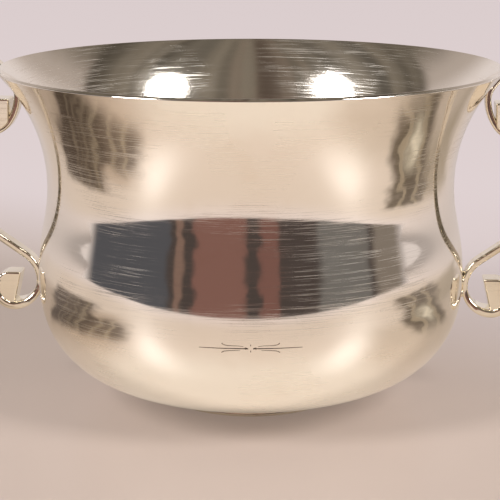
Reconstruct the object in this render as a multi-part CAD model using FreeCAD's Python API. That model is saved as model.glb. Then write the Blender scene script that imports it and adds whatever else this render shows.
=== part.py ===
import FreeCAD, Part
import math
import os

# Two-handled silver caudle cup: a raised bowl with a flared lip, an applied foot ring and
# a pair of scroll handles. Millimetres, +Z up, the cup's axis is Z and the handles lie on X.
# The origin is the middle of the foot, on the surface that the cup stands on.

# Bowl outline, outside face
LIP_RADIUS = 57.5
LIP_HEIGHT = 77.0
NECK_RADIUS = 47.35
NECK_HEIGHT = 54.6
BELLY_RADIUS = 49.75
BELLY_HEIGHT = 29.5
NECK_SHARE = 0.45            # part of the neck-to-belly curve that is still hollow
UPPER_BILGE_RADIUS = 30.0    # first curve below the widest place
UPPER_BILGE_TURN = 13.0
BASE_RADIUS = 60.0           # broad curve of the underside
BASE_SLOPE = 20.0            # where the bilge gives way to the underside
FLOOR_HEIGHT = 2.3           # flat middle of the underside, above the table
WALL = 0.9
LIP_BREAK = 0.15             # softened edges of the square-cut lip

# Foot ring
FOOT_RADIUS = 21.85
FOOT_BAND = 1.7
FOOT_SPLAY = 0.9             # how much wider the ring is at the table than at the bowl
FOOT_LAND = 0.6              # upright edge that meets the table

# Handle strap: width across, thickness in the handle's plane
SPRING_DROP = 3.2            # upper seat below the lip
LOWER_SEAT_HEIGHT = 26.0
SEAT_DEPTH = 0.12            # how far the strap is filed to the bowl
REACH = 80.0                 # widest place of the bow, at the strap's middle
SHOULDER_RADIUS = 5.0        # bend under the lip
ELBOW_RADIUS = 7.5           # bend where the bow comes in to the belly
ELBOW_HEADING = 35.0
UPPER_CURL = ((11.0, 35.0), (5.5, 55.0), (4.0, 90.0), (2.7, 90.0))
LOWER_CURL = ((6.2, 90.0), (4.2, 90.0), (2.9, 90.0))
UPPER_TAIL = 6.1             # straight top of each solid end, towards the bowl
LOWER_TAIL = 3.2
BOW_SECTION = (4.0, 1.6)
SEAT_SECTION = (3.9, 1.4)
UPPER_CURL_SECTION = (5.0, 1.7)
LOWER_CURL_SECTION = (6.4, 2.0)
TAIL_SECTION = (5.0, 2.0)
EDGE_BREAK = 0.3             # softened edge of the strap, as a share of its thickness
STATION_TURN = 15.0
STATION_STEP = 6.0

# Solid scroll ends
KNOP_WIDTH = 5.6
KNOP_ROUNDING = 0.5
KNOP_CROWN = 0.15            # how far the end stands above the strap that runs into it


def polar(length, degrees):
    """Vector of a length and heading in the half plane of radius and height."""
    angle = math.radians(degrees)
    return FreeCAD.Vector(length * math.cos(angle), 0, length * math.sin(angle))


def turn(point, heading, radius, degrees):
    """Arc from a point along a heading; positive degrees turn to the left."""
    side = 90.0 if degrees > 0 else -90.0
    centre = point + polar(radius, heading + side)
    middle = centre + polar(radius, heading - side + degrees / 2)
    end = centre + polar(radius, heading - side + degrees)
    return Part.Arc(point, middle, end).toShape(), end, heading + degrees


class Outline:
    """The bowl's outside curve as tangent arcs, and the same curve moved inwards."""

    def __init__(self):
        flare_out = LIP_RADIUS - NECK_RADIUS
        flare_up = LIP_HEIGHT - NECK_HEIGHT
        self.flare_radius = (flare_out ** 2 + flare_up ** 2) / (2 * flare_out)
        self.flare_centre = FreeCAD.Vector(NECK_RADIUS + self.flare_radius, 0, NECK_HEIGHT)
        swell_out = BELLY_RADIUS - NECK_RADIUS
        swell_down = NECK_HEIGHT - BELLY_HEIGHT
        both = (swell_out ** 2 + swell_down ** 2) / (2 * swell_out)
        self.hollow_radius = NECK_SHARE * both
        self.swell_radius = both - self.hollow_radius
        self.swell_turn = math.degrees(math.asin(swell_down / both))
        bilge_drop = BELLY_HEIGHT - FLOOR_HEIGHT
        bilge_drop -= UPPER_BILGE_RADIUS * math.sin(math.radians(UPPER_BILGE_TURN))
        bilge_drop -= BASE_RADIUS * (1 - math.cos(math.radians(BASE_SLOPE)))
        sweep = math.cos(math.radians(BASE_SLOPE)) - math.sin(math.radians(UPPER_BILGE_TURN))
        self.bilge_radius = bilge_drop / sweep

    def lip_heading(self):
        """Slope of the flare at the lip, in degrees from level."""
        return self.flare_heading(LIP_HEIGHT)

    def flare_heading(self, height):
        """Slope of the flare at a height, in degrees from level."""
        return math.degrees(math.acos((height - NECK_HEIGHT) / self.flare_radius))

    def flare_point(self, height, out=0.0):
        """Point of the flare at a height, moved off the bowl by out."""
        heading = self.flare_heading(height)
        return self.flare_centre + polar(self.flare_radius - out, heading + 90.0)

    def belly_radius_at(self, height):
        """Outside radius just below the widest place."""
        drop = BELLY_HEIGHT - height
        return BELLY_RADIUS - UPPER_BILGE_RADIUS + math.sqrt(UPPER_BILGE_RADIUS ** 2 - drop ** 2)

    def edges(self, inward=0.0):
        """Arcs from the lip down to the flat middle of the floor."""
        heading = 180.0 + self.lip_heading()
        point = self.flare_point(LIP_HEIGHT, -inward)
        flare = (self.flare_radius + inward, 90.0 - self.lip_heading())
        hollow = (self.hollow_radius + inward, self.swell_turn)
        swell = (self.swell_radius - inward, -self.swell_turn)
        upper_bilge = (UPPER_BILGE_RADIUS - inward, -UPPER_BILGE_TURN)
        bilge = (self.bilge_radius - inward, -(90.0 - UPPER_BILGE_TURN - BASE_SLOPE))
        base = (BASE_RADIUS - inward, -BASE_SLOPE)
        result = []
        for radius, degrees in (flare, hollow, swell, upper_bilge, bilge, base):
            edge, point, heading = turn(point, heading, radius, degrees)
            result.append(edge)
        middle = FreeCAD.Vector(0, 0, point.z)
        result.append(Part.makeLine(point, middle))
        return result, middle


def lathe(edges):
    """Solid turned about the Z axis from a closed outline."""
    face = Part.Face(Part.Wire(Part.__sortEdges__(edges)))
    return face.revolve(FreeCAD.Vector(0, 0, 0), FreeCAD.Vector(0, 0, 1), 360)


def chain(points):
    """Straight edges from each point to the next."""
    return [Part.makeLine(first, second) for first, second in zip(points, points[1:])]


def make_envelope(outline):
    """The bowl filled solid, which other pieces are filed to."""
    edges, middle = outline.edges()
    lip = outline.flare_point(LIP_HEIGHT)
    beyond = lip + polar(LIP_BREAK, outline.lip_heading())
    return lathe(edges + chain([middle, FreeCAD.Vector(0, 0, beyond.z), beyond, lip]))


def make_bowl(outline):
    """Raised shell of one gauge with a square-cut lip, its two edges broken."""
    outside, outside_middle = outline.edges()
    inside, inside_middle = outline.edges(WALL)
    outer_lip = outline.flare_point(LIP_HEIGHT)
    inner_lip = outline.flare_point(LIP_HEIGHT, -WALL)
    onward = polar(LIP_BREAK, outline.lip_heading())
    across = polar(LIP_BREAK, outline.lip_heading() + 90.0)
    rim = chain([inner_lip, inner_lip + onward - across, outer_lip + onward + across, outer_lip])
    return lathe(outside + inside + rim + [Part.makeLine(outside_middle, inside_middle)])


def make_foot(envelope):
    """Splayed band that carries the bowl, its top filed to the underside."""
    inner = FOOT_RADIUS - FOOT_BAND
    neck = FOOT_RADIUS - FOOT_SPLAY
    top = FLOOR_HEIGHT + FOOT_BAND
    places = (
        (inner, 0),
        (FOOT_RADIUS, 0),
        (FOOT_RADIUS, FOOT_LAND),
        (neck, FLOOR_HEIGHT),
        (neck, top),
        (inner, top),
        (inner, 0),
    )
    return lathe(chain([FreeCAD.Vector(x, 0, z) for x, z in places])).cut(envelope)


class Stretch:
    """One edge of the strap's course, with the strap's section at its two ends."""

    def __init__(self, edge, first_section, last_section, backwards=False):
        self.edge = edge
        self.first_section = first_section
        self.last_section = last_section
        self.backwards = backwards

    def steps(self):
        """Number of stations that the stretch needs."""
        if isinstance(self.edge.Curve, Part.Circle):
            degrees = math.degrees(self.edge.Length / self.edge.Curve.Radius)
            return max(1, math.ceil(degrees / STATION_TURN))
        return max(1, math.ceil(self.edge.Length / STATION_STEP))

    def station(self, part):
        """Closed section wire at a part of the stretch's length."""
        along = 1.0 - part if self.backwards else part
        parameter = self.edge.getParameterByLength(along * self.edge.Length)
        centre = self.edge.valueAt(parameter)
        course = self.edge.tangentAt(parameter)
        if self.backwards:
            course = course.negative()
        ease = part * part * (3.0 - 2.0 * part)
        width, thickness = [
            first + ease * (last - first)
            for first, last in zip(self.first_section, self.last_section)
        ]
        return section_wire(centre, course, width, thickness)


def section_wire(centre, course, width, thickness):
    """Flat strap section with broken edges, square to the course of the strap."""
    outwards = FreeCAD.Vector(-course.z, 0, course.x)
    broken = EDGE_BREAK * thickness
    corners = []
    for across, through in ((1, 1), (-1, 1), (-1, -1), (1, -1)):
        flat = (across * (width / 2 - broken), through * thickness / 2)
        edge = (across * width / 2, through * (thickness / 2 - broken))
        corners += [edge, flat] if across == through else [flat, edge]
    points = [centre + FreeCAD.Vector(0, y, 0) + outwards * out for y, out in corners]
    return Part.makePolygon(points + points[:1])


def curl(start, arcs):
    """Volute of tangent arcs that goes down from a point and rolls outwards."""
    edges = []
    point = start
    heading = -90.0
    for radius, degrees in arcs:
        edge, point, heading = turn(point, heading, radius, degrees)
        edges.append(edge)
    return edges, point, heading


def make_knop(arcs, end, tail):
    """Solid end that fills a curl from its second arc on, cut square towards the bowl."""
    top = end.z + TAIL_SECTION[1] / 2 + KNOP_CROWN
    corner = FreeCAD.Vector(tail.x, 0, top)
    crown = FreeCAD.Vector(end.x, 0, top)
    heel = arcs[1].firstVertex(True).Point
    flank = arcs[-1].firstVertex(True).Point
    centre = FreeCAD.Vector(end.x, 0, flank.z)
    back = Part.ArcOfEllipse(Part.Ellipse(crown, flank, centre), 0, math.pi / 2)
    outline_edges = [Part.makeLine(corner, crown), back.toShape()]
    outline_edges += list(reversed(arcs[1:-1]))
    outline_edges.append(Part.makeLine(heel, corner))
    face = Part.Face(Part.Wire(Part.__sortEdges__(outline_edges)))
    face.translate(FreeCAD.Vector(0, -KNOP_WIDTH / 2, 0))
    knop = face.extrude(FreeCAD.Vector(0, KNOP_WIDTH, 0))
    rims = [edge for edge in knop.Edges if edge.BoundBox.YLength < KNOP_WIDTH / 2]
    return knop.makeFillet(KNOP_ROUNDING, rims)


def make_bow(start, heading, end):
    """Crest, long back and straight that join a start to the elbow's upper end."""
    crest_radius = (REACH - start.x) / (1.0 + math.sin(math.radians(heading)))
    crest, widest, _ = turn(start, heading, crest_radius, -90.0 - heading)
    rise = math.sin(math.radians(ELBOW_HEADING))
    run = math.cos(math.radians(ELBOW_HEADING))
    drop = widest.z - end.z
    inward = widest.x - end.x
    back_radius = (drop * run - inward * rise) / (1.0 - rise)
    back, back_end, _ = turn(widest, -90.0, back_radius, ELBOW_HEADING - 90.0)
    return [crest, back, Part.makeLine(back_end, end)]


def strap_runs(outline):
    """The strap's upper curl, bow and lower curl in order, and the two solid ends."""
    out = BOW_SECTION[1] / 2 - SEAT_DEPTH
    spring_height = LIP_HEIGHT - SPRING_DROP
    spring_heading = outline.flare_heading(spring_height)
    spring = outline.flare_point(spring_height, out)
    hug, passing, lip_heading = turn(
        spring,
        spring_heading,
        outline.flare_radius - out,
        outline.lip_heading() - spring_heading,
    )
    shoulder, curl_top, _ = turn(
        spring, 180.0 + spring_heading, SHOULDER_RADIUS, 90.0 - spring_heading
    )
    upper, upper_end, upper_heading = curl(curl_top, UPPER_CURL)
    upper_tail = upper_end + polar(UPPER_TAIL, upper_heading)

    seat_centre = outline.belly_radius_at(LOWER_SEAT_HEIGHT) + SEAT_SECTION[1] / 2 - SEAT_DEPTH
    seat = FreeCAD.Vector(seat_centre, 0, LOWER_SEAT_HEIGHT)
    elbow, elbow_top, _ = turn(seat, 90.0, ELBOW_RADIUS, ELBOW_HEADING - 90.0)
    lower, lower_end, lower_heading = curl(seat, LOWER_CURL)
    lower_tail = lower_end + polar(LOWER_TAIL, lower_heading)

    upper_sections = [SEAT_SECTION, SEAT_SECTION, UPPER_CURL_SECTION, TAIL_SECTION, TAIL_SECTION]
    lower_sections = [SEAT_SECTION, LOWER_CURL_SECTION, LOWER_CURL_SECTION, TAIL_SECTION]
    upper_curl = [
        Stretch(edge, last, first, True)
        for edge, first, last in zip(upper, upper_sections, upper_sections[1:])
    ]
    upper_curl.reverse()
    bow = [Stretch(shoulder, SEAT_SECTION, BOW_SECTION, True)]
    for edge in [hug] + make_bow(passing, lip_heading, elbow_top):
        bow.append(Stretch(edge, BOW_SECTION, BOW_SECTION))
    bow.append(Stretch(elbow, BOW_SECTION, SEAT_SECTION, True))
    lower_curl = [
        Stretch(edge, first, last)
        for edge, first, last in zip(lower, lower_sections, lower_sections[1:])
    ]
    upper_knop = make_knop(upper, upper_end, upper_tail)
    lower_knop = make_knop(lower, lower_end, lower_tail)
    return [upper_curl, bow, lower_curl], [upper_knop, lower_knop]


def loft_run(stretches):
    """One smooth length of strap through the stations of its stretches."""
    sections = [stretches[0].station(0.0)]
    for stretch in stretches:
        count = stretch.steps()
        sections += [stretch.station((index + 1) / count) for index in range(count)]
    return Part.makeLoft(sections, True, False)


def make_handle(outline, envelope):
    """Cast scroll handle on the +X side, filed to the bowl where it is soldered."""
    runs, (upper_knop, lower_knop) = strap_runs(outline)
    upper_curl, bow, lower_curl = [loft_run(run) for run in runs]
    handle = upper_curl.fuse(upper_knop)
    for length in (bow, lower_curl, lower_knop):
        handle = handle.fuse(length)
    return handle.cut(envelope)


def opposite(shape):
    """The same piece on the other side of the cup."""
    turned = shape.copy()
    turned.rotate(FreeCAD.Vector(0, 0, 0), FreeCAD.Vector(0, 0, 1), 180)
    return turned


def main():
    """Build every piece and write it to its own file."""
    outline = Outline()
    envelope = make_envelope(outline)
    right_handle = make_handle(outline, envelope)
    pieces = {
        "bowl": make_bowl(outline),
        "foot_ring": make_foot(envelope),
        "right_handle": right_handle,
        "left_handle": opposite(right_handle),
    }
    os.makedirs("parts", exist_ok=True)
    for name, shape in pieces.items():
        shape.exportStep("parts/" + name + ".step")
        print(name, len(shape.Solids), "solid", round(shape.Volume, 1), "mm3", shape.isValid())


main()
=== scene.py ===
import logging
import math
from collections.abc import Mapping, Sequence
from dataclasses import dataclass, field, replace
from enum import Enum

import bmesh
import bpy
from mathutils import Matrix, Vector

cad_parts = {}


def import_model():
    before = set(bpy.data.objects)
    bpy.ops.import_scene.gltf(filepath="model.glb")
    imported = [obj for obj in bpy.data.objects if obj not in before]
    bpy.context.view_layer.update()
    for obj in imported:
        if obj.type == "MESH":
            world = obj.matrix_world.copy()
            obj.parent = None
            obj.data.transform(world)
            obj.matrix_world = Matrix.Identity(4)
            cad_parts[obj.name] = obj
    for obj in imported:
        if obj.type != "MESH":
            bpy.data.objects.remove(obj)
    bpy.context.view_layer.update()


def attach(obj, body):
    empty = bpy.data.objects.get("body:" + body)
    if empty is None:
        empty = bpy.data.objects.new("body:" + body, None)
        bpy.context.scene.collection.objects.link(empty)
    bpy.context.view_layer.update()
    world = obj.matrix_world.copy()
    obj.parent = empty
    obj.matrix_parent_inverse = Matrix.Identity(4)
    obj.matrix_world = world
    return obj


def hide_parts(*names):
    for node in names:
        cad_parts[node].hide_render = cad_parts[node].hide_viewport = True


# Looks of a two-handled silver caudle cup: a raised bowl on a foot ring, with two cast scroll
# handles and a small engraved rule on the side that faces the camera. The cup's sizes are in
# millimetres, with +Z up and the handles along X, and become metres as each mesh is finished.
# The finishes, the table, the room, the lamps and the camera are in metres and degrees.

LOG = logging.getLogger("caudle_cup")
METRES = 0.001
BODY = "root"
SAME_PLACE = 0.001           # millimetres within which two vertices are one
TURN_STEP = 6.0              # degrees that one step of a tight arc turns
FLAT_WEIGHT = 90             # how far large faces keep their direction at rounded edges, of 100
CAMERA_AZIMUTH = 3.6         # degrees that the camera stands towards the right handle

Colour = tuple[float, float, float]
Range = tuple[float, float]
FAR_TABLE: Colour = (0.77, 0.67, 0.675)
PALE_ROOM: Colour = (0.74, 0.665, 0.64)


class Slot(Enum):
    """The record's material slots."""

    BOWL = "bowl_silver"
    FOOT = "foot_silver"
    HANDLE = "handle_silver"


def polar(length: float, degrees: float) -> Vector:
    """Vector of a length and heading in the plane of radius and height."""
    angle = math.radians(degrees)
    return Vector((length * math.cos(angle), 0.0, length * math.sin(angle)))


def walk(place: Vector, heading: float, radius: float, degrees: float) -> tuple[Vector, float]:
    """Goes along an arc.

    Args:
        place: where the arc starts.
        heading: its heading there, in degrees.
        radius: the arc's radius.
        degrees: how far it turns, positive to the left.

    Returns:
        The arc's end and the heading there.
    """
    side = math.copysign(90.0, degrees)
    centre = place + polar(radius, heading + side)
    return centre + polar(radius, heading - side + degrees), heading + degrees


class Socket:
    """A node socket that takes part in sums by adding Math nodes."""

    def __init__(self, desk: "Desk", socket: bpy.types.NodeSocket) -> None:
        """Wraps a socket of a desk's node tree."""
        self.desk = desk
        self.socket = socket

    def _math(self, operation: str, first: object, second: object) -> "Socket":
        """Adds one Math node for two values or links."""
        return self.desk.add("ShaderNodeMath", {"operation": operation}, {0: first, 1: second})

    def __add__(self, other: object) -> "Socket":
        """Sum."""
        return self._math("ADD", self, other)

    def __radd__(self, other: object) -> "Socket":
        """Sum with a number on the left."""
        return self._math("ADD", other, self)

    def __sub__(self, other: object) -> "Socket":
        """Difference."""
        return self._math("SUBTRACT", self, other)

    def __rsub__(self, other: object) -> "Socket":
        """Difference with a number on the left."""
        return self._math("SUBTRACT", other, self)

    def __mul__(self, other: object) -> "Socket":
        """Product."""
        return self._math("MULTIPLY", self, other)

    def __rmul__(self, other: object) -> "Socket":
        """Product with a number on the left."""
        return self._math("MULTIPLY", other, self)

    def __pow__(self, other: object) -> "Socket":
        """Power."""
        return self._math("POWER", self, other)

    def largest(self, other: object) -> "Socket":
        """The larger of two values."""
        return self._math("MAXIMUM", self, other)

    def step(self, low: float, high: float) -> "Socket":
        """Smooth step from 0 at low to 1 at high; low may be above high."""
        if low > high:
            return 1.0 - self.step(high, low)
        settings = {"interpolation_type": "SMOOTHSTEP"}
        inputs = {"Value": self, "From Min": low, "From Max": high, "To Min": 0.0, "To Max": 1.0}
        return self.desk.add("ShaderNodeMapRange", settings, inputs)

    def between(self, ends: Range, edge: float) -> "Socket":
        """Mask of a range whose ends are soft by edge on both sides."""
        low, high = ends
        return self.step(low - edge, low + edge) * self.step(high + edge, high - edge)


class Desk:
    """Builds one node tree."""

    def __init__(self, tree: bpy.types.NodeTree) -> None:
        """Empties the tree."""
        self.tree = tree
        tree.nodes.clear()

    def add(
        self,
        kind: str,
        settings: Mapping[str, object] | None = None,
        inputs: Mapping[str | int, object] | None = None,
        output: str | int = 0,
    ) -> Socket:
        """Adds a node.

        Args:
            kind: the node's type.
            settings: what is set on the node itself, such as a Math node's operation.
            inputs: values or links of its sockets by name or number.
            output: the output to give back.

        Returns:
            One of the node's outputs, or its first input where it has no output.
        """
        node = self.tree.nodes.new(kind)
        for name, value in (settings or {}).items():
            setattr(node, name, value)
        for name, value in (inputs or {}).items():
            if isinstance(value, Socket):
                self.tree.links.new(value.socket, node.inputs[name])
            else:
                node.inputs[name].default_value = value
        return Socket(self, node.outputs[output] if node.outputs else node.inputs[0])

    def mix(self, share: Socket | float, first: object, second: object) -> Socket:
        """Colour that goes from the first to the second as share goes from 0 to 1."""
        colours = [
            (*value, 1.0) if isinstance(value, tuple) else value for value in (first, second)
        ]
        settings = {"data_type": "RGBA", "blend_type": "MIX"}
        return self.add(
            "ShaderNodeMix", settings, {0: share, 6: colours[0], 7: colours[1]}, output=2
        )

    def split(self, vector: Socket) -> tuple[Socket, Socket, Socket]:
        """The three parts of a vector."""
        first = self.add("ShaderNodeSeparateXYZ", {}, {0: vector})
        outputs = first.socket.node.outputs
        return first, Socket(self, outputs[1]), Socket(self, outputs[2])

    def noise(self, place: Socket, scale: float, detail: float) -> Socket:
        """Noise round 0.5, finer with a larger scale."""
        inputs = {"Vector": place, "Scale": scale, "Detail": detail}
        return self.add("ShaderNodeTexNoise", {}, inputs)

    def streaks(self, bearing: Socket, closeness: float) -> Socket:
        """Noise that changes with the bearing alone."""
        inputs = {"W": bearing * closeness, "Scale": 1.0, "Detail": 2.0}
        return self.add("ShaderNodeTexNoise", {"noise_dimensions": "1D"}, inputs)

    def azimuth(self, across: Socket, depth: Socket) -> Socket:
        """Bearing from the camera's side, in degrees, positive to the right."""
        angle = self.add("ShaderNodeMath", {"operation": "ARCTAN2"}, {0: across, 1: 0.0 - depth})
        return angle * math.degrees(1.0)


def new_material(name: str) -> tuple[bpy.types.Material, Desk]:
    """Makes a material, with the desk that builds its nodes."""
    material = bpy.data.materials.new(name)
    material.use_nodes = True
    return material, Desk(material.node_tree)


def new_object(name: str, data: bpy.types.ID) -> bpy.types.Object:
    """Puts an object of some data in the scene."""
    made = bpy.data.objects.new(name, data)
    bpy.context.scene.collection.objects.link(made)
    return made


@dataclass(frozen=True)
class Scratches:
    """One set of fine polishing lines that run one way, and the noise values that show as lines."""

    turn: tuple[float, float, float]
    across: float
    along: float
    shown: Range


@dataclass(frozen=True)
class Silver:
    """Hand-polished old silver: warm and bright, clouded a little, with fine scratches, and where
    asked darker low down with painted shade.
    """

    name: str
    tint: Colour
    shade: Colour
    roughness: float
    cloud_roughness: float = 0.05
    wave_height: float = 0.00003
    wave_scale: float = 42.0
    cloud_scale: float = 55.0
    cloud_range: Range = (0.45, 0.75)
    cloud_share: float = 0.35
    tarnish_scale: float = 170.0
    tarnish_range: Range = (0.55, 0.8)
    tarnish_share: float = 0.35
    # painted shade: from the first height to the second the colour darkens towards the shade colour
    shade_heights: Range = (0.0, -1.0)
    shade_share: float = 0.5
    inside_roughness: float = 0.0
    inside_edge: float = 0.002
    line_height: float = 0.0000004
    line_roughness: float = 0.27
    line_range: Range = (0.40, 0.62)
    line_least: float = 0.25
    marks: tuple[Scratches, ...] = (
        Scratches((0.07, 0.0, 0.0), 6900.0, 52.0, (0.60, 0.70)),
        Scratches((0.34, 0.22, 0.9), 7300.0, 60.0, (0.61, 0.70)),
        Scratches((-0.55, 0.4, -0.4), 6600.0, 56.0, (0.61, 0.70)),
    )

    def _scratch(self, desk: Desk, place: Socket, mark: Scratches) -> Socket:
        """Mask of one set of lines."""
        stretched = desk.add(
            "ShaderNodeMapping",
            {"vector_type": "POINT"},
            {
                "Vector": place,
                "Rotation": mark.turn,
                "Scale": (mark.along, mark.along, mark.across),
            },
        )
        return desk.noise(stretched, scale=1.0, detail=1.0).step(*mark.shown)

    def _inside(self, desk: Desk, place: Socket) -> Socket:
        """Mask of the faces that look towards the cup's axis."""
        facing = desk.add("ShaderNodeTexCoord", output="Normal")
        across, depth, _ = desk.split(place)
        facing_across, facing_depth, _ = desk.split(facing)
        outwards = across * facing_across + depth * facing_depth
        return outwards.step(self.inside_edge, -self.inside_edge)

    def make(self) -> bpy.types.Material:
        """Builds the material."""
        material, desk = new_material(self.name)
        place = desk.add("ShaderNodeTexCoord", output="Object")
        _, _, height = desk.split(place)
        cloud = desk.noise(place, scale=self.cloud_scale, detail=4.0)
        tarnish = desk.noise(place, scale=self.tarnish_scale, detail=5.0)
        wave = desk.noise(place, scale=self.wave_scale, detail=1.0)
        lines = self._scratch(desk, place, self.marks[0])
        for mark in self.marks[1:]:
            lines = lines.largest(self._scratch(desk, place, mark))
        clouded = cloud.step(*self.line_range) * (1.0 - self.line_least)
        lines = lines * (self.line_least + clouded)
        # clouding and tarnish at random, and the painted shade low down
        tarnish_and_shade = cloud.step(*self.cloud_range) * self.cloud_share
        tarnish_and_shade = tarnish_and_shade + tarnish.step(*self.tarnish_range) * self.tarnish_share
        tarnish_and_shade = tarnish_and_shade + height.step(*self.shade_heights) * self.shade_share
        colour = desk.mix(tarnish_and_shade, self.tint, self.shade)
        roughness = self.roughness + tarnish_and_shade * self.cloud_roughness + lines * self.line_roughness
        if self.inside_roughness:
            roughness = roughness + self._inside(desk, place) * self.inside_roughness
        waved = desk.add(
            "ShaderNodeBump", {}, {"Strength": 1.0, "Distance": self.wave_height, "Height": wave}
        )
        scratched = desk.add(
            "ShaderNodeBump",
            {"invert": True},
            {"Strength": 1.0, "Distance": self.line_height, "Height": lines, "Normal": waved},
        )
        shader = desk.add(
            "ShaderNodeBsdfPrincipled",
            {},
            {"Metallic": 1.0, "Base Color": colour, "Roughness": roughness, "Normal": scratched},
        )
        desk.add("ShaderNodeOutputMaterial", {}, {"Surface": shader})
        return material


@dataclass(frozen=True)
class CutSilver:
    """Silver inside an engraved line, dark with old polish and with the painted shade of the cut.
    """

    name: str
    # dark tint: old polish in the line and the painted shade of the cut
    tint: Colour = (0.20, 0.155, 0.12)
    shade: Colour = (0.09, 0.065, 0.05)
    roughness: float = 0.42
    grain_scale: float = 1500.0
    grain_range: Range = (0.35, 0.7)

    def make(self) -> bpy.types.Material:
        """Builds the material."""
        material, desk = new_material(self.name)
        place = desk.add("ShaderNodeTexCoord", output="Object")
        grain = desk.noise(place, scale=self.grain_scale, detail=3.0)
        colour = desk.mix(grain.step(*self.grain_range), self.tint, self.shade)
        shader = desk.add(
            "ShaderNodeBsdfPrincipled",
            {},
            {"Metallic": 1.0, "Base Color": colour, "Roughness": self.roughness},
        )
        desk.add("ShaderNodeOutputMaterial", {}, {"Surface": shader})
        return material


class Pen:
    """Draws an outline in the plane of radius and height as joined vertices of a bmesh."""

    def __init__(self, mesh: bmesh.types.BMesh, place: Vector, heading: float) -> None:
        """Puts the pen down at a place with a heading."""
        self.mesh = mesh
        self.heading = heading
        self.tip = mesh.verts.new(place)

    def line(self, length: float, steps: int = 1) -> None:
        """Draws straight on."""
        for _ in range(steps):
            drawn = bmesh.ops.extrude_vert_indiv(self.mesh, verts=[self.tip])
            self.tip = drawn["verts"][0]
            ahead = polar(length / steps, self.heading)
            bmesh.ops.translate(self.mesh, verts=[self.tip], vec=ahead)

    def to(self, place: Vector) -> None:
        """Draws a straight line to a place."""
        course = place - self.tip.co
        self.heading = math.degrees(math.atan2(course.z, course.x))
        self.line(course.length)

    def bend(self, radius: float, degrees: float, steps: int) -> None:
        """Draws an arc; positive degrees turn to the left."""
        side = math.copysign(90.0, degrees)
        drawn = bmesh.ops.spin(
            self.mesh,
            geom=[self.tip],
            cent=self.tip.co + polar(radius, self.heading + side),
            axis=(0.0, -1.0, 0.0),
            angle=math.radians(degrees),
            steps=steps,
            use_merge=False,
            use_duplicate=False,
        )
        self.tip = drawn["geom_last"][0]
        self.heading += degrees


def turned(mesh: bmesh.types.BMesh, steps: int) -> None:
    """Spins an outline round the Z axis into a closed shell."""
    bmesh.ops.spin(
        mesh,
        geom=mesh.verts[:] + mesh.edges[:],
        cent=(0.0, 0.0, 0.0),
        axis=(0.0, 0.0, 1.0),
        angle=math.tau,
        steps=steps,
        use_merge=True,
        use_duplicate=False,
    )
    bmesh.ops.remove_doubles(mesh, verts=mesh.verts[:], dist=SAME_PLACE)
    bmesh.ops.recalc_face_normals(mesh, faces=mesh.faces[:])


def finished(
    mesh: bmesh.types.BMesh, name: str, sharp: float, flat_faces: bool = False
) -> bpy.types.Object:
    """Makes a named object of a bmesh drawn in millimetres.

    Args:
        mesh: the bmesh, which is freed.
        name: the object's name.
        sharp: angle in degrees past which an edge stays sharp.
        flat_faces: whether large faces keep their own direction up to their rounded edges.

    Returns:
        The object, in metres, at the origin.
    """
    bmesh.ops.scale(mesh, vec=(METRES,) * 3, verts=mesh.verts[:])
    data = bpy.data.meshes.new(name)
    mesh.to_mesh(data)
    mesh.free()
    data.shade_smooth()
    data.set_sharp_from_angle(angle=math.radians(sharp))
    piece = new_object(name, data)
    if flat_faces:
        weighting = piece.modifiers.new("flat_faces", "WEIGHTED_NORMAL")
        weighting.keep_sharp = True
        weighting.weight = FLAT_WEIGHT
    return piece


def place_piece(
    piece: bpy.types.Object, slot: Slot, finish: bpy.types.Material, node: str | None = None
) -> None:
    """Dresses a piece and ties it to the frame.

    Args:
        piece: the finished object.
        slot: the record's slot that its finish belongs to.
        finish: its material.
        node: the CAD node that it stands for, if any.
    """
    piece.data.materials.clear()
    piece.data.materials.append(finish)
    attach(piece, BODY)
    if node:
        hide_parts(node)
    LOG.info("%s: %d faces, slot %s", piece.name, len(piece.data.polygons), slot.value)


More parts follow.
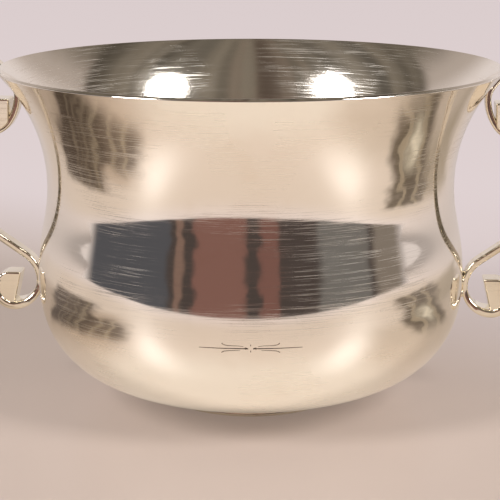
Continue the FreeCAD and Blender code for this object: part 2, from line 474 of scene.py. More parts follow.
@dataclass
class Bowl:
    """Raised shell of one gauge with a flared lip, a hollow neck and a swelling belly."""

    lip_radius: float = 57.5
    lip_height: float = 77.0
    neck_radius: float = 47.1
    neck_height: float = 51.2
    belly_radius: float = 49.9
    belly_height: float = 27.9
    neck_share: float = 0.40
    upper_bilge_radius: float = 30.0
    upper_bilge_turn: float = 13.0
    base_radius: float = 60.0
    base_slope: float = 20.0
    floor_height: float = 2.3
    wall: float = 0.9
    lip_rounding: float = 0.22
    lip_rounding_steps: int = 4
    lip_run: float = 0.06
    lip_margin: float = 0.03
    spacing: float = 0.9
    least_steps: int = 3
    steps_round: int = 224
    fairing_passes: int = 12
    fairing_pull: float = 0.5
    sharp: float = 60.0

    def __post_init__(self) -> None:
        """Works out the arcs between the outline's measured places."""
        out = self.lip_radius - self.neck_radius
        up = self.lip_height - self.neck_height
        self.flare_radius = (out * out + up * up) / (2.0 * out)
        self.flare_centre = Vector((self.neck_radius + self.flare_radius, 0.0, self.neck_height))
        out = self.belly_radius - self.neck_radius
        down = self.neck_height - self.belly_height
        both = (out * out + down * down) / (2.0 * out)
        self.hollow_radius = self.neck_share * both
        self.swell_radius = both - self.hollow_radius
        self.swell_turn = math.degrees(math.asin(down / both))
        upper = math.radians(self.upper_bilge_turn)
        slope = math.radians(self.base_slope)
        drop = self.belly_height - self.floor_height - self.upper_bilge_radius * math.sin(upper)
        drop -= self.base_radius * (1.0 - math.cos(slope))
        self.bilge_radius = drop / (math.cos(slope) - math.sin(upper))
        self.flat_radius = self.belly_radius - self.upper_bilge_radius * (1.0 - math.cos(upper))
        self.flat_radius -= self.bilge_radius * (math.cos(upper) - math.sin(slope))
        self.flat_radius -= self.base_radius * math.sin(slope)

    def flare_heading(self, height: float) -> float:
        """Slope of the flare at a height, in degrees from level."""
        return math.degrees(math.acos((height - self.neck_height) / self.flare_radius))

    def flare_point(self, height: float, out: float = 0.0) -> Vector:
        """Point of the flare at a height, moved off the bowl by out."""
        return self.flare_centre + polar(self.flare_radius - out, self.flare_heading(height) + 90.0)

    def belly_radius_at(self, height: float) -> float:
        """Outside radius just below the widest place."""
        drop = self.belly_height - height
        inside = math.sqrt(self.upper_bilge_radius**2 - drop**2)
        return self.belly_radius - self.upper_bilge_radius + inside

    def underside_at(self, radius: float) -> float:
        """Height of the rounded underside at a radius."""
        out = radius - self.flat_radius
        return self.floor_height + self.base_radius - math.sqrt(self.base_radius**2 - out**2)

    def side_arcs(self, inward: float) -> list[tuple[float, float]]:
        """Radius and turn of each arc from the underside up to the lip."""
        lip_heading = self.flare_heading(self.lip_height)
        return [
            (self.base_radius - inward, self.base_slope),
            (self.bilge_radius - inward, 90.0 - self.upper_bilge_turn - self.base_slope),
            (self.upper_bilge_radius - inward, self.upper_bilge_turn),
            (self.swell_radius - inward, self.swell_turn),
            (self.hollow_radius + inward, -self.swell_turn),
            (self.flare_radius + inward, lip_heading - 90.0),
        ]

    def _draw_side(self, pen: Pen, arcs: Sequence[tuple[float, float]]) -> None:
        """Draws one face of the wall, arc by arc."""
        for radius, degrees in arcs:
            length = abs(math.radians(degrees)) * radius
            pen.bend(radius, degrees, max(self.least_steps, round(length / self.spacing)))

    def _draw_lip(self, pen: Pen) -> None:
        """Draws the lip's flat edge and its two roundings, with a short run beside each."""
        flat = self.wall - 2.0 * self.lip_rounding - 2.0 * self.lip_margin
        pen.line(self.lip_run)
        pen.bend(self.lip_rounding, 90.0, self.lip_rounding_steps)
        for length in (self.lip_margin, flat, self.lip_margin):
            pen.line(length)
        pen.bend(self.lip_rounding, 90.0, self.lip_rounding_steps)
        pen.line(self.lip_run)

    def make(self, finish: bpy.types.Material) -> None:
        """Draws the outline from the axis out, over the lip and back, and turns it."""
        mesh = bmesh.new()
        pen = Pen(mesh, Vector((0.0, 0.0, self.floor_height)), 0.0)
        flat_steps = round(self.flat_radius / (2.0 * self.spacing))
        pen.line(self.flat_radius, flat_steps)
        self._draw_side(pen, self.side_arcs(0.0))
        faired = len(mesh.verts)
        self._draw_lip(pen)
        inside_start = len(mesh.verts)
        inside = [(radius, -degrees) for radius, degrees in reversed(self.side_arcs(self.wall))]
        self._draw_side(pen, inside)
        pen.line(self.flat_radius, flat_steps)
        mesh.verts.ensure_lookup_table()
        pen.tip.co.x = 0.0
        smoothed = mesh.verts[1 : faired - 1] + mesh.verts[inside_start:-1]
        for _ in range(self.fairing_passes):
            bmesh.ops.smooth_vert(
                mesh, verts=smoothed, factor=self.fairing_pull, use_axis_x=True, use_axis_z=True
            )
        turned(mesh, self.steps_round)
        piece = finished(mesh, "cup_bowl", self.sharp)
        place_piece(piece, Slot.BOWL, finish, "bowl")


@dataclass
class FootRing:
    """Low splayed band that carries the bowl."""

    radius: float = 21.85
    band: float = 1.7
    splay: float = 0.9
    land: float = 0.6
    sink: float = 0.3
    rounding: float = 0.14
    rounding_steps: int = 3
    rounded_past: float = 20.0
    steps_round: int = 160
    sharp: float = 50.0

    def make(self, bowl: Bowl, finish: bpy.types.Material) -> None:
        """Turns the band, with its top let into the bowl's wall."""
        mesh = bmesh.new()
        inner = self.radius - self.band
        neck = self.radius - self.splay
        corners = (
            (inner, 0.0),
            (self.radius, 0.0),
            (self.radius, self.land),
            (neck, bowl.floor_height),
            (neck, bowl.underside_at(neck) + self.sink),
            (inner, bowl.underside_at(inner) + self.sink),
            (inner, 0.0),
        )
        pen = Pen(mesh, Vector((inner, 0.0, 0.0)), 0.0)
        for out, up in corners[1:]:
            pen.to(Vector((out, 0.0, up)))
        turned(mesh, self.steps_round)
        least = math.radians(self.rounded_past)
        rims = [edge for edge in mesh.edges if edge.calc_face_angle(0.0) > least]
        bmesh.ops.bevel(
            mesh,
            geom=rims,
            affect="EDGES",
            offset=self.rounding,
            segments=self.rounding_steps,
            profile=0.5,
            material=-1,
        )
        piece = finished(mesh, "cup_foot_ring", self.sharp, flat_faces=True)
        place_piece(piece, Slot.FOOT, finish, "foot_ring")


@dataclass(frozen=True)
class Section:
    """Width across and thickness of the strap."""

    width: float
    thickness: float

    def toward(self, other: "Section", share: float) -> "Section":
        """Section that eases from this one to another."""
        ease = share * share * (3.0 - 2.0 * share)
        return Section(
            self.width + ease * (other.width - self.width),
            self.thickness + ease * (other.thickness - self.thickness),
        )


class Strap:
    """Flat strap with rounded edges that is drawn out along a course in its own plane."""

    EDGE_STEPS = 6

    def __init__(
        self, mesh: bmesh.types.BMesh, place: Vector, heading: float, section: Section, edge: float
    ) -> None:
        """Makes the first section.

        Args:
            mesh: the bmesh to draw in.
            place: the middle of the first section.
            heading: the strap's heading there.
            section: its size there.
            edge: radius of its edges.
        """
        self.mesh = mesh
        self.place = place
        self.heading = heading
        self.section = section
        self.base = section
        grid = bmesh.ops.create_grid(mesh, x_segments=1, y_segments=1, size=0.5)["verts"]
        bmesh.ops.scale(mesh, vec=(section.width, section.thickness, 1.0), verts=grid)
        outline = bmesh.ops.bevel(
            mesh,
            geom=grid,
            affect="VERTICES",
            offset=edge,
            segments=self.EDGE_STEPS,
            profile=0.5,
            material=-1,
        )["verts"]
        self.ring = list({rim for vert in outline for rim in vert.link_edges})
        inner = list({face for vert in outline for face in vert.link_faces})
        bmesh.ops.delete(mesh, geom=inner, context="FACES_ONLY")
        stand = Matrix(((0, 0, 1, 0), (1, 0, 0, 0), (0, 1, 0, 0), (0, 0, 0, 1)))
        bmesh.ops.transform(mesh, matrix=stand, verts=self._verts())
        self.matrix = Matrix.Identity(4)
        self._settle(self._pose())
        bmesh.ops.edgeloop_fill(mesh, edges=self.ring)

    def _verts(self) -> list[bmesh.types.BMVert]:
        """Vertices of the last ring."""
        return list({vert for edge in self.ring for vert in edge.verts})

    def _pose(self) -> Matrix:
        """Where the last section stands and how large it is."""
        turn = Matrix.Rotation(math.radians(-self.heading), 4, "Y")
        size = Matrix.Diagonal(
            (
                1.0,
                self.section.width / self.base.width,
                self.section.thickness / self.base.thickness,
                1.0,
            )
        )
        return Matrix.Translation(self.place) @ turn @ size

    def _settle(self, pose: Matrix) -> None:
        """Moves the last ring to a pose."""
        bmesh.ops.transform(self.mesh, matrix=pose @ self.matrix.inverted(), verts=self._verts())
        self.matrix = pose

    def _draw(self) -> None:
        """Draws out one more ring."""
        made = bmesh.ops.extrude_edge_only(self.mesh, edges=self.ring)["geom"]
        verts = {item for item in made if isinstance(item, bmesh.types.BMVert)}
        edges = [item for item in made if isinstance(item, bmesh.types.BMEdge)]
        self.ring = [edge for edge in edges if set(edge.verts) <= verts]
        self._settle(self._pose())

    def bend(self, radius: float, degrees: float, end: Section, pitch: float) -> None:
        """Draws the strap along an arc and eases it to another section."""
        length = abs(math.radians(degrees)) * radius
        steps = max(2, round(length / pitch), round(abs(degrees) / TURN_STEP))
        start = self.section
        for index in range(steps):
            self.place, self.heading = walk(self.place, self.heading, radius, degrees / steps)
            self.section = start.toward(end, (index + 1) / steps)
            self._draw()

    def line(self, length: float, end: Section, pitch: float) -> None:
        """Draws the strap straight on."""
        steps = max(1, round(length / pitch))
        start = self.section
        for index in range(steps):
            self.place = self.place + polar(length / steps, self.heading)
            self.section = start.toward(end, (index + 1) / steps)
            self._draw()

    def close(self) -> None:
        """Closes the strap's end."""
        bmesh.ops.edgeloop_fill(self.mesh, edges=self.ring)


@dataclass(frozen=True)
class Curl:
    """A roll of the strap and the solid end that fills it."""

    arcs: tuple[tuple[float, float], ...]
    tail: float
    rounding: float
    taper: float = 0.0


@dataclass(frozen=True)
class Bead:
    """A bead of solder: its height from its seat or the lip, its side of the strap and its size."""

    height: float
    side: int
    size: float
    stretch: float


@dataclass
class ScrollHandle:
    """Cast scroll handle: a strap that hugs the lip, crests, comes in to the belly and curls."""

    name: str = "right_handle"
    side: int = 1
    spring_drop: float = 3.2
    lower_seat_height: float = 26.0
    seat_depth: float = 0.12
    reach: float = 80.0
    shoulder_radius: float = 5.0
    elbow_radius: float = 7.5
    elbow_heading: float = 35.0
    upper: Curl = Curl(((11.0, 35.0), (5.5, 55.0), (4.0, 90.0), (2.7, 90.0)), 6.1, 0.45, 5.0)
    lower: Curl = Curl(((6.2, 90.0), (4.2, 90.0), (2.9, 90.0)), 3.2, 0.45)
    bow: Section = Section(4.0, 1.6)
    seat: Section = Section(3.9, 1.4)
    upper_roll: Section = Section(5.0, 1.7)
    lower_roll: Section = Section(6.4, 2.0)
    tail: Section = Section(5.0, 2.0)
    edge: float = 0.66
    pitch: float = 0.8
    knop_width: float = 5.6
    knop_crown: float = 0.15
    crown_steps: int = 14
    rounding_steps: int = 4
    rounded_past: float = 0.5
    sliver: float = 0.012
    sharp: float = 50.0
    lower_beads: tuple[Bead, ...] = (
        Bead(2.2, 1, 0.75, 1.5),
        Bead(-1.6, -1, 0.7, 1.2),
        Bead(0.4, 1, 0.6, 1.1),
        Bead(1.2, -1, 0.55, 1.6),
    )
    upper_beads: tuple[Bead, ...] = (Bead(-4.4, 1, 0.6, 1.8), Bead(-4.1, -1, 0.6, 1.7))
    bead_width: float = 0.8
    lower_bead_depth: float = 0.55
    upper_bead_depth: float = 0.6
    bead_out: float = 0.1
    bead_sharp: float = 80.0

    def _curl_course(self, start: Vector, curl: Curl) -> list[tuple[Vector, float]]:
        """Place and heading at the ends of a curl's arcs, from the strap to the solid end."""
        stops = [(start, -90.0)]
        for radius, degrees in curl.arcs:
            stops.append(walk(*stops[-1], radius, degrees))
        return stops

    def _strap(self, bowl: Bowl) -> tuple[bmesh.types.BMesh, list, list]:
        """Draws the whole strap from its upper solid end to its lower one.

        Args:
            bowl: the bowl that it lies on.

        Returns:
            The bmesh, and the stops of the upper and lower curls.
        """
        out = self.bow.thickness / 2.0 - self.seat_depth
        spring_height = bowl.lip_height - self.spring_drop
        spring_heading = bowl.flare_heading(spring_height)
        spring = bowl.flare_point(spring_height, out)
        shoulder_turn = 90.0 - spring_heading
        curl_top, _ = walk(spring, 180.0 + spring_heading, self.shoulder_radius, shoulder_turn)
        upper_stops = self._curl_course(curl_top, self.upper)
        lip_heading = bowl.flare_heading(bowl.lip_height)
        seat_out = bowl.belly_radius_at(self.lower_seat_height) - self.seat_depth
        seat = Vector((seat_out + self.seat.thickness / 2.0, 0.0, self.lower_seat_height))
        lower_stops = self._curl_course(seat, self.lower)
        elbow_turn = 90.0 - self.elbow_heading
        elbow_top, _ = walk(seat, 90.0, self.elbow_radius, -elbow_turn)

        mesh = bmesh.new()
        end_place, end_heading = upper_stops[-1]
        strap = Strap(mesh, end_place, end_heading + 180.0, self.tail, self.edge)
        sections = (self.tail, self.upper_roll, self.seat, self.seat)
        for (radius, degrees), section in zip(reversed(self.upper.arcs), sections):
            strap.bend(radius, -degrees, section, self.pitch)
        strap.bend(self.shoulder_radius, -shoulder_turn, self.bow, self.pitch)
        strap.bend(bowl.flare_radius - out, lip_heading - spring_heading, self.bow, self.pitch)
        rise = math.sin(math.radians(strap.heading))
        crest_radius = (self.reach - strap.place.x) / (1.0 + rise)
        strap.bend(crest_radius, -90.0 - strap.heading, self.bow, self.pitch)
        sine = math.sin(math.radians(self.elbow_heading))
        cosine = math.cos(math.radians(self.elbow_heading))
        drop = strap.place.z - elbow_top.z
        inward = strap.place.x - elbow_top.x
        back_radius = (drop * cosine - inward * sine) / (1.0 - sine)
        strap.bend(back_radius, self.elbow_heading - 90.0, self.bow, self.pitch)
        strap.line((strap.place - elbow_top).length, self.bow, self.pitch * 2.0)
        strap.bend(self.elbow_radius, elbow_turn, self.seat, self.pitch)
        sections = (self.lower_roll, self.lower_roll, self.tail)
        for (radius, degrees), section in zip(self.lower.arcs, sections):
            strap.bend(radius, degrees, section, self.pitch)
        strap.close()
        return mesh, upper_stops, lower_stops

    def _solid_end(self, mesh: bmesh.types.BMesh, curl: Curl, stops: list) -> None:
        """Draws the solid that fills a curl from its second arc on, cut square at the bowl."""
        before = set(mesh.verts)
        (heel, heading), (end, _) = stops[1], stops[-1]
        flank = stops[-2][0]
        top = end.z + self.tail.thickness / 2.0 + self.knop_crown
        pen = Pen(mesh, heel, heading)
        for radius, degrees in curl.arcs[1:-1]:
            pen.bend(radius, degrees, round(degrees / TURN_STEP))
        below = set(mesh.verts)
        pen.bend(*curl.arcs[-1], self.crown_steps)
        stretch = (top - flank.z) / (end.z - flank.z)
        crown = [vert for vert in mesh.verts if vert not in below]
        level = Matrix.Translation((0.0, 0.0, -flank.z))
        bmesh.ops.scale(mesh, vec=(1.0, 1.0, stretch), space=level, verts=crown)
        pen.to(Vector((end.x - curl.tail, 0.0, top)))
        pen.to(heel)
        drawn = [vert for vert in mesh.verts if vert not in before]
        bmesh.ops.remove_doubles(mesh, verts=drawn, dist=SAME_PLACE)
        drawn = [vert for vert in mesh.verts if vert not in before]
        bmesh.ops.translate(mesh, vec=(0.0, -self.knop_width / 2.0, 0.0), verts=drawn)
        outline = list({edge for vert in drawn for edge in vert.link_edges})
        bmesh.ops.edgeloop_fill(mesh, edges=outline)
        made = bmesh.ops.extrude_edge_only(mesh, edges=outline)["geom"]
        far = {item for item in made if isinstance(item, bmesh.types.BMVert)}
        bmesh.ops.translate(mesh, vec=(0.0, self.knop_width, 0.0), verts=list(far))
        edges = [item for item in made if isinstance(item, bmesh.types.BMEdge)]
        far_rim = [edge for edge in edges if set(edge.verts) <= far]
        bmesh.ops.edgeloop_fill(mesh, edges=far_rim)
        lean = math.tan(math.radians(curl.taper))
        for verts, side in ((drawn, -1.0), (list(far), 1.0)):
            shear = Matrix.Identity(4)
            shear[1][2] = side * lean
            bmesh.ops.transform(mesh, matrix=shear, space=level, verts=verts)
        rims = set(outline + far_rim)
        crossing = {edge for vert in (set(drawn) | far) for edge in vert.link_edges} - rims
        corners = {edge for edge in crossing if edge.calc_face_angle(0.0) > self.rounded_past}
        bmesh.ops.bevel(
            mesh,
            geom=list(rims | corners),
            affect="EDGES",
            offset=curl.rounding,
            segments=self.rounding_steps,
            profile=0.5,
            material=-1,
            clamp_overlap=True,
        )
        drawn = [vert for vert in mesh.verts if vert not in before]
        bmesh.ops.remove_doubles(mesh, verts=drawn, dist=self.sliver)

    def _bead(
        self, mesh: bmesh.types.BMesh, bead: Bead, place: Vector, shape: tuple[float, ...]
    ) -> None:
        """Draws one bead of solder.

        Args:
            mesh: the bmesh to draw in.
            bead: its size and the side of the strap that it lies on.
            place: where it would lie on the strap's middle line.
            shape: its stretch out, across and up.
        """
        ball = bmesh.ops.create_uvsphere(mesh, u_segments=20, v_segments=12, radius=bead.size)
        bmesh.ops.scale(mesh, vec=shape, verts=ball["verts"])
        aside = Vector((0.0, bead.side * self.seat.width / 2.0, 0.0))
        bmesh.ops.translate(mesh, vec=place + aside, verts=ball["verts"])

    def _solder(self, bowl: Bowl) -> bmesh.types.BMesh:
        """Draws the beads of solder that show beside the strap at its two seats."""
        mesh = bmesh.new()
        for bead in self.lower_beads:
            height = self.lower_seat_height + bead.height
            place = Vector((bowl.belly_radius_at(height) + self.bead_out, 0.0, height))
            self._bead(mesh, bead, place, (self.lower_bead_depth, self.bead_width, bead.stretch))
        for bead in self.upper_beads:
            place = bowl.flare_point(bowl.lip_height + bead.height, self.bead_out)
            self._bead(mesh, bead, place, (bead.stretch, self.bead_width, self.upper_bead_depth))
        return mesh

    def _turn_over(self, mesh: bmesh.types.BMesh) -> None:
        """Takes the piece to its own side of the cup."""
        if self.side < 0:
            half = Matrix.Rotation(math.pi, 3, "Z")
            bmesh.ops.rotate(mesh, cent=(0.0, 0.0, 0.0), matrix=half, verts=mesh.verts[:])
        bmesh.ops.recalc_face_normals(mesh, faces=mesh.faces[:])

    def make(self, bowl: Bowl, finish: bpy.types.Material) -> None:
        """Builds the strap, its solid ends and the solder."""
        strap, upper_stops, lower_stops = self._strap(bowl)
        ends = bmesh.new()
        self._solid_end(ends, self.upper, upper_stops)
        self._solid_end(ends, self.lower, lower_stops)
        solder = self._solder(bowl)
        for mesh in (strap, ends, solder):
            self._turn_over(mesh)
        piece = finished(strap, self.name + "_strap", self.sharp, flat_faces=True)
        place_piece(piece, Slot.HANDLE, finish, self.name)
        piece = finished(ends, self.name + "_scroll_ends", self.sharp, flat_faces=True)
        place_piece(piece, Slot.HANDLE, finish)
        piece = finished(solder, self.name + "_solder", self.bead_sharp)
        place_piece(piece, Slot.HANDLE, finish)


@dataclass(frozen=True)
class Stroke:
    """One engraved line: its places across and up, and its widths along it, in millimetres."""

    places: tuple[tuple[float, float], ...]
    widths: tuple[float, ...]

    def width_at(self, share: float) -> float:
        """Width at a share of the line's length."""
        place = share * (len(self.widths) - 1)
        first = min(int(place), len(self.widths) - 2)
        return self.widths[first] + (place - first) * (self.widths[first + 1] - self.widths[first])


@dataclass
class EngravedRule:
    """Small scrolled rule, cut into the belly on the side that faces the camera."""

    height: float = 25.2
    azimuth: float = CAMERA_AZIMUTH
    sink: float = 0.015
    line_reach: float = 10.8
    line_start: float = 0.9
    line_points: int = 10
    line_widths: tuple[float, ...] = (0.16, 0.15, 0.12, 0.07)
    strokes: tuple[Stroke, ...] = (
        Stroke(((0.0, 0.95), (0.0, 0.75), (0.0, 0.55)), (0.03, 0.26, 0.05)),
        Stroke(((0.0, -0.35), (0.0, -0.60), (0.0, -0.85)), (0.05, 0.28, 0.03)),
    )
    tendrils: tuple[Stroke, ...] = (
        Stroke(((1.5, 0.42), (2.4, 0.62), (3.6, 0.60), (4.8, 0.62), (5.5, 0.78)), (0.04, 0.11)),
        Stroke(((5.5, 0.78), (5.85, 0.95), (5.95, 1.12)), (0.12, 0.2)),
        Stroke(((2.2, -0.42), (3.4, -0.42), (4.6, -0.48), (5.5, -0.62)), (0.04, 0.11)),
        Stroke(((5.5, -0.62), (5.9, -0.75), (6.0, -0.92)), (0.12, 0.2)),
        Stroke(((0.55, -0.06), (0.85, 0.14), (1.2, 0.24)), (0.22, 0.05)),
        Stroke(((0.55, 0.06), (0.85, -0.08), (1.2, -0.16)), (0.2, 0.05)),
    )

    def _spline(self, curve: bpy.types.Curve, bowl: Bowl, stroke: Stroke, side: int) -> None:
        """Adds one stroke that follows the belly."""
        spline = curve.splines.new("NURBS")
        spline.points.add(len(stroke.places) - 1)
        last = len(stroke.places) - 1
        for index, (point, (across, up)) in enumerate(zip(spline.points, stroke.places)):
            height = self.height + up
            radius = bowl.belly_radius_at(height) - self.sink
            angle = math.radians(self.azimuth) + side * across / bowl.belly_radius
            place = Vector((math.sin(angle), -math.cos(angle), 0.0)) * radius
            point.co = (*(Vector((place.x, place.y, height)) * METRES), 1.0)
            point.radius = stroke.width_at(index / last) / 2.0
        spline.order_u = 3
        spline.use_endpoint_u = True
        spline.resolution_u = 10

    def make(self, bowl: Bowl, finish: bpy.types.Material) -> None:
        """Draws the strokes as a fine closed line let into the surface."""
        curve = bpy.data.curves.new("engraved_rule_lines", "CURVE")
        curve.dimensions = "3D"
        curve.bevel_depth = METRES
        curve.bevel_resolution = 3
        curve.use_fill_caps = True
        for stroke in self.strokes:
            self._spline(curve, bowl, stroke, 1)
        step = (self.line_reach - self.line_start) / self.line_points
        places = [(self.line_start + step * index, 0.0) for index in range(self.line_points + 1)]
        line = Stroke(tuple(places), self.line_widths)
        for stroke in (line, *self.tendrils):
            for side in (1, -1):
                self._spline(curve, bowl, stroke, side)
        drawn = new_object("engraved_rule_lines", curve)
        graph = bpy.context.evaluated_depsgraph_get()
        data = bpy.data.meshes.new_from_object(drawn.evaluated_get(graph))
        bpy.data.objects.remove(drawn)
        data.name = "engraved_rule"
        data.shade_smooth()
        place_piece(new_object("engraved_rule", data), Slot.BOWL, finish)


@dataclass(frozen=True)
class Lamp:
    """One soft oval lamp, placed by its bearing from the camera's side."""

    name: str
    azimuth: float
    elevation: float
    distance: float
    size: tuple[float, float]
    watts: float
    colour: Colour

    def hang(self) -> None:
        """Hangs the lamp, turned to the cup's foot."""
        light = bpy.data.lights.new(self.name, "AREA")
        light.shape = "ELLIPSE"
        light.size, light.size_y = self.size
        light.energy = self.watts
        light.color = self.colour
        out = math.cos(math.radians(self.elevation))
        angle = math.radians(self.azimuth)
        up = math.sin(math.radians(self.elevation))
        place = Vector((out * math.sin(angle), -out * math.cos(angle), up)) * self.distance
        hung = new_object(self.name, light)
        hung.location = place
        hung.rotation_euler = (-place).to_track_quat("-Z", "Y").to_euler()


@dataclass(frozen=True)
class Patch:
    """A soft upright patch of the unlit side of the room, by bearing, in degrees."""

    azimuth: Range
    edge: float
    colour: Colour


@dataclass(frozen=True)
class Shade:
    """A soft wedge of the table as the silver mirrors it, painted darker or lighter: bearings and
    distances.
    """

    azimuth: Range
    edge: float
    reach: Range
    reach_edge: float
    colour: Colour
    streaked: float = 0.0


@dataclass
class Table:
    """Pale table, a little glossy, darker near the cup with painted shade and glowing a little with
    painted light, which the silver mirrors in tones of its own up to its edge.
    """

    size: float = 6.0
    # painted shade: the table near and in front of the cup is darker, paler behind
    shaded_near: Colour = (0.59, 0.485, 0.43)
    far_slant: float = 0.7
    far_range: Range = (0.02, 0.16)
    mirrored: Colour = (0.735, 0.63, 0.545)
    rim: Colour = (0.79, 0.70, 0.67)
    rim_range: Range = (0.6, 0.95)
    back_range: Range = (0.0, 0.35)
    reach: tuple[float, float] = (0.44, 0.236)
    reach_edge: float = 0.015
    front_edge: float = 0.02
    roughness: float = 0.35
    # painted light: the share of the table that glows with its own colour everywhere, rising behind
    # the cup for the camera
    glow: float = 0.28
    far_glow: float = 0.85
    far_glow_range: Range = (0.03, 0.26)
    uneven_scale: float = 24.0
    shade_waver: float = 22.0
    shade_ragged: float = 0.03
    shade_light: Colour = (0.52, 0.43, 0.31)
    streak_closeness: float = 0.16
    streak_range: Range = (0.46, 0.66)
    # painted in the table where the silver mirrors it: a lighter patch in front under the cup that
    # lifts the cup's own shadow there, painted shade beside the cup, and dark wedges with paler
    # streaks that stand for other mirrored things
    shades: tuple[Shade, ...] = (
        Shade((-60.0, 60.0), 20.0, (-0.05, 0.075), 0.02, (0.80, 0.72, 0.635)),
        Shade((-130.0, -52.0), 14.0, (0.062, 0.16), 0.02, (0.55, 0.44, 0.35)),
        Shade((48.0, 120.0), 14.0, (0.062, 0.12), 0.02, (0.62, 0.52, 0.43)),
        Shade((100.0, 130.0), 6.0, (0.13, 0.24), 0.03, (0.45, 0.375, 0.29)),
        Shade((-92.0, -50.0), 4.0, (0.086, 0.135), 0.012, (0.18, 0.135, 0.10), 0.5),
        Shade((-106.0, -72.0), 5.0, (0.088, 0.19), 0.012, (0.08, 0.056, 0.04), 0.36),
        Shade((76.0, 104.0), 5.0, (0.086, 0.25), 0.012, (0.13, 0.10, 0.07), 0.55),
        Shade((88.0, 94.0), 3.0, (0.10, 0.15), 0.02, (0.72, 0.65, 0.52)),
    )

    def _share_of_reach(self, across: Socket, depth: Socket) -> Socket:
        """How far out a place of the table is, 1 at its oval edge."""
        long, short = self.reach
        return ((across * (1.0 / long)) ** 2.0 + (depth * (1.0 / short)) ** 2.0) ** 0.5

    def _mirrored_tone(self, desk: Desk, place: Socket, out: Socket) -> Socket:
        """Painted tone of the table as the silver mirrors it, with painted light and shade.

        Args:
            desk: the desk of the table's material.
            place: the place on the table.
            out: how far out it is, 1 at the edge.

        Returns:
            The pale tones that lighten towards the edge and the back, with the shades on them.
        """
        across, depth, _ = desk.split(place)
        tone = desk.mix(out.step(*self.rim_range), self.mirrored, self.rim)
        tone = desk.mix(depth.step(*self.back_range), tone, PALE_ROOM)
        uneven = desk.noise(place, scale=self.uneven_scale, detail=3.0) - 0.5
        bearing = desk.azimuth(across, depth) + uneven * self.shade_waver
        distance = (across * across + depth * depth) ** 0.5 + uneven * self.shade_ragged
        streak = desk.streaks(bearing, self.streak_closeness).step(*self.streak_range)
        for shade in self.shades:
            inside = bearing.between(shade.azimuth, shade.edge)
            inside = inside * distance.between(shade.reach, shade.reach_edge)
            colour = desk.mix(streak * shade.streaked, shade.colour, self.shade_light)
            tone = desk.mix(inside, tone, colour)
        return tone

    def _finish(self) -> bpy.types.Material:
        """Builds the material; in front, the table ends at its edge for all but the camera."""
        material, desk = new_material("pale_table")
        place = desk.add("ShaderNodeTexCoord", output="Object")
        across, depth, _ = desk.split(place)
        ray = desk.add("ShaderNodeLightPath", output="Is Camera Ray")
        # painted shade for the camera: darker near and in front of the cup, paler behind
        behind = (depth + across * self.far_slant).step(*self.far_range)
        seen = desk.mix(behind, self.shaded_near, FAR_TABLE)
        out = self._share_of_reach(across, depth)
        colour = desk.mix(ray, self._mirrored_tone(desk, place, out), seen)
        lit = desk.add(
            "ShaderNodeBsdfPrincipled",
            {},
            {"Base Color": colour, "Roughness": self.roughness, "Specular IOR Level": 0.5},
        )
        # painted light: the table glows with its own colour, which weakens the cup's shadow on it
        # and evens it out behind
        pale = desk.add("ShaderNodeEmission", {}, {"Color": colour})
        glow_share = self.glow + depth.step(*self.far_glow_range) * ray * (self.far_glow - self.glow)
        table = desk.add("ShaderNodeMixShader", {}, {0: glow_share, 1: lit, 2: pale})
        nothing = desk.add("ShaderNodeBsdfTransparent")
        past_edge = out.step(1.0 - self.reach_edge, 1.0 + self.reach_edge)
        beyond = past_edge * depth.step(self.front_edge, -self.front_edge) * (1.0 - ray)
        both = desk.add("ShaderNodeMixShader", {}, {0: beyond, 1: table, 2: nothing})
        desk.add("ShaderNodeOutputMaterial", {}, {"Surface": both})
        return material

    def make(self) -> None:
        """Lays the table."""
        mesh = bmesh.new()
        bmesh.ops.create_grid(mesh, x_segments=1, y_segments=1, size=self.size)
        data = bpy.data.meshes.new("table")
        mesh.to_mesh(data)
        mesh.free()
        data.materials.append(self._finish())
        new_object("table", data)


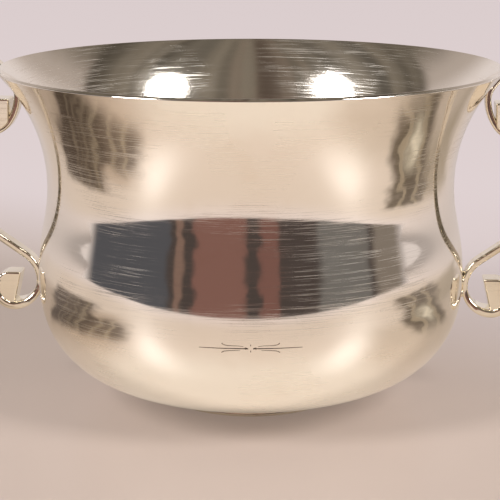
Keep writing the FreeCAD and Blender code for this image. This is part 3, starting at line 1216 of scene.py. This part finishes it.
@dataclass
class Room:
    """The room that the silver mirrors: pale behind and beside the cup, dark in front and above."""

    dark: Colour = (0.07, 0.055, 0.05)
    front: Range = (95.0, 86.0)
    front_widening: float = 26.0
    front_rise: Range = (10.0, 24.0)
    overhead: Range = (28.0, 50.0)
    high: Colour = (0.44, 0.375, 0.335)
    high_range: Range = (12.0, 28.0)
    above: tuple[Colour, Colour] = ((0.07, 0.06, 0.046), (0.24, 0.205, 0.16))
    above_share: float = 0.85
    above_range: Range = (14.0, 30.0)
    above_closeness: float = 0.05
    above_streaks: Range = (0.3, 0.7)
    waver: float = 9.0
    waver_scale: float = 7.0
    patches: tuple[Patch, ...] = (
        Patch((-90.0, -41.0), 2.0, (0.085, 0.085, 0.095)),
        Patch((-37.0, -32.0), 1.5, (0.22, 0.14, 0.11)),
        Patch((-26.0, 1.0), 1.5, (0.215, 0.11, 0.09)),
        Patch((9.0, 18.0), 1.5, (0.19, 0.095, 0.078)),
        Patch((40.0, 68.0), 3.0, (0.165, 0.155, 0.145)),
        Patch((72.0, 90.0), 3.0, (0.22, 0.185, 0.155)),
    )

    def make(self) -> None:
        """Lights the room by direction."""
        world = bpy.data.worlds.new("room")
        world.use_nodes = True
        bpy.context.scene.world = world
        desk = Desk(world.node_tree)
        direction = desk.add("ShaderNodeTexCoord", output="Generated")
        across, depth, up = desk.split(direction)
        azimuth = desk.azimuth(across, depth)
        height = desk.add("ShaderNodeMath", {"operation": "ARCSINE"}, {0: up})
        elevation = height * math.degrees(1.0)
        bearing = desk.add("ShaderNodeMath", {"operation": "ABSOLUTE"}, {0: azimuth})
        widening = elevation.step(*self.front_rise) * self.front_widening
        front = (bearing - widening).step(*self.front)
        uneven = desk.noise(direction, scale=self.waver_scale, detail=2.0) - 0.5
        wavering = azimuth + uneven * self.waver
        unlit: object = self.dark
        for patch in self.patches:
            inside = wavering.between(patch.azimuth, patch.edge)
            unlit = desk.mix(inside, unlit, patch.colour)
        streak = desk.streaks(azimuth, self.above_closeness).step(*self.above_streaks)
        above = desk.mix(streak, *self.above)
        unlit = desk.mix(elevation.step(*self.above_range) * self.above_share, unlit, above)
        pale = desk.mix(elevation.step(*self.high_range), PALE_ROOM, self.high)
        colour = desk.mix(front.largest(elevation.step(*self.overhead)), pale, unlit)
        ray = desk.add("ShaderNodeLightPath", output="Is Camera Ray")
        colour = desk.mix(ray, colour, FAR_TABLE)
        shader = desk.add("ShaderNodeBackground", {}, {"Color": colour, "Strength": 1.0})
        desk.add("ShaderNodeOutputWorld", {}, {"Surface": shader})


@dataclass
class Camera:
    """The camera, at the photograph's viewing angle."""

    distance: float = 0.3354
    height: float = 0.1172
    pitch: float = 13.92
    lens: float = 105.12
    sensor: float = 36.0
    shift: tuple[float, float] = (-0.0014, -0.003)
    clip: Range = (0.01, 50.0)

    def make(self) -> None:
        """Stands the camera in front of the cup."""
        data = bpy.data.cameras.new("camera")
        data.lens = self.lens
        data.sensor_width = self.sensor
        data.shift_x, data.shift_y = self.shift
        data.clip_start, data.clip_end = self.clip
        camera = new_object("camera", data)
        turn = math.radians(CAMERA_AZIMUTH)
        camera.location = (
            self.distance * math.sin(turn),
            -self.distance * math.cos(turn),
            self.height,
        )
        camera.rotation_euler = (math.radians(90.0 - self.pitch), 0.0, turn)
        bpy.context.scene.camera = camera


@dataclass
class Studio:
    """Plain pale table, plain soft light and the camera."""

    camera: Camera = field(default_factory=Camera)
    table: Table = field(default_factory=Table)
    room: Room = field(default_factory=Room)
    lamps: tuple[Lamp, ...] = (
        Lamp("lamp_right", 60.0, 37.0, 0.9, (0.30, 0.42), 5.6, (1.0, 0.97, 0.94)),
        Lamp("lamp_left", -52.0, 37.0, 0.9, (0.26, 0.42), 5.2, (1.0, 0.97, 0.95)),
    )

    def make(self) -> None:
        """Sets the whole stage."""
        bpy.context.scene.view_settings.view_transform = "Standard"
        self.camera.make()
        self.table.make()
        self.room.make()
        for lamp in self.lamps:
            lamp.hang()


@dataclass
class CaudleCup:
    """The cup: bowl, foot ring, two handles, of which one is rounder at its lower end, and rule."""

    bowl: Bowl = field(default_factory=Bowl)
    foot: FootRing = field(default_factory=FootRing)
    handles: tuple[ScrollHandle, ...] = (
        ScrollHandle("right_handle", 1),
        ScrollHandle("left_handle", -1, lower=replace(ScrollHandle.lower, rounding=0.85)),
    )
    rule: EngravedRule = field(default_factory=EngravedRule)

    def make(self) -> None:
        """Builds and dresses every piece."""
        bowl_finish = Silver(
            "bowl_silver_worn",
            tint=(0.955, 0.905, 0.835),
            shade=(0.90, 0.82, 0.72),
            roughness=0.05,
            inside_roughness=0.05,
        )
        foot_finish = Silver(
            "foot_silver_dull",
            tint=(0.86, 0.78, 0.68),
            shade=(0.45, 0.35, 0.26),
            roughness=0.14,
            # painted shade: the foot ring darkens towards the table, under the bowl
            shade_heights=(0.003, 0.0),
        )
        handle_finish = Silver(
            "handle_silver_cast",
            tint=(0.94, 0.88, 0.75),
            shade=(0.72, 0.58, 0.38),
            roughness=0.09,
            cloud_roughness=0.09,
            wave_scale=90.0,
        )
        self.bowl.make(bowl_finish.make())
        self.foot.make(self.bowl, foot_finish.make())
        finish = handle_finish.make()
        for handle in self.handles:
            handle.make(self.bowl, finish)
        self.rule.make(self.bowl, CutSilver("engraved_line").make())


def main() -> None:
    """Loads the frame and builds the cup and its stage."""
    logging.basicConfig(level=logging.INFO, format="%(name)s %(message)s")
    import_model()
    Studio().make()
    CaudleCup().make()


if __name__ == "__main__":
    main()
